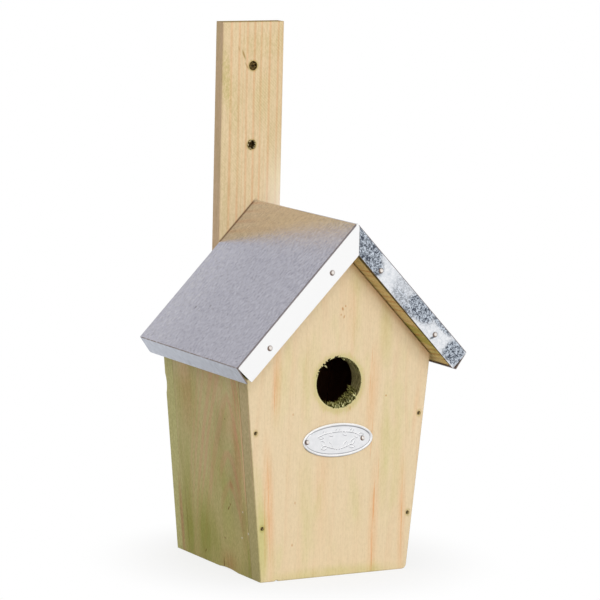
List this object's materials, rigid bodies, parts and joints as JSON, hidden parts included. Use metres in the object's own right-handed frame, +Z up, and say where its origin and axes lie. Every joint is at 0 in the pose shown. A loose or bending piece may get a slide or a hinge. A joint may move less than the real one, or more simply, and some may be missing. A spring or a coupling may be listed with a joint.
{
  "type": "nest box",
  "caption": "Wooden nest box for small garden birds, with a round entry hole, leaning walls, a gabled roof under folded sheet metal and a tall batten to hang it by.",
  "frame": {"origin": "middle of the whole object's bounding box in plan, at the height of the base", "axes": "+Z up, the front with the entry hole faces -Y, +X to the right seen from behind the front face looking along +Y"},
  "size_m": [0.1624, 0.141, 0.337],
  "materials": {
    "wood_front": "matt planed pine, pale yellow with a green tint from pressure treatment",
    "wood_side": "matt planed pine, greener and browner, flat sawn",
    "wood_roof": "matt sawn pine, tan",
    "wood_batten": "matt planed pine with straight grain",
    "zinc_sheet": "satin galvanised sheet, dull on the slopes and spangled on the flanges",
    "plate_metal": "satin pressed aluminium",
    "pin_metal": "bright zinc-plated pin heads",
    "nail_metal": "dull dark nail heads"
  },
  "bodies": {
    "root": {"front_wall": "wood_front", "back_wall": "wood_front", "left_wall": "wood_side", "right_wall": "wood_side", "floor": "wood_side", "left_roof_board": "wood_roof", "right_roof_board": "wood_roof", "roof_sheet": "zinc_sheet", "mounting_batten": "wood_batten", "oval_plate": "plate_metal", "plate_pin_left": "pin_metal", "plate_pin_right": "pin_metal", "roof_pin_left_lower": "pin_metal", "roof_pin_left_upper": "pin_metal", "roof_pin_right_lower": "pin_metal", "roof_pin_right_upper": "pin_metal", "front_nail_left_lower": "nail_metal", "front_nail_left_upper": "nail_metal", "front_nail_right_lower": "nail_metal", "front_nail_right_upper": "nail_metal", "back_nail_left_lower": "nail_metal", "back_nail_left_upper": "nail_metal", "back_nail_right_lower": "nail_metal", "back_nail_right_upper": "nail_metal", "batten_nail_lower": "nail_metal", "batten_nail_upper": "nail_metal"}
  },
  "joints": []
}
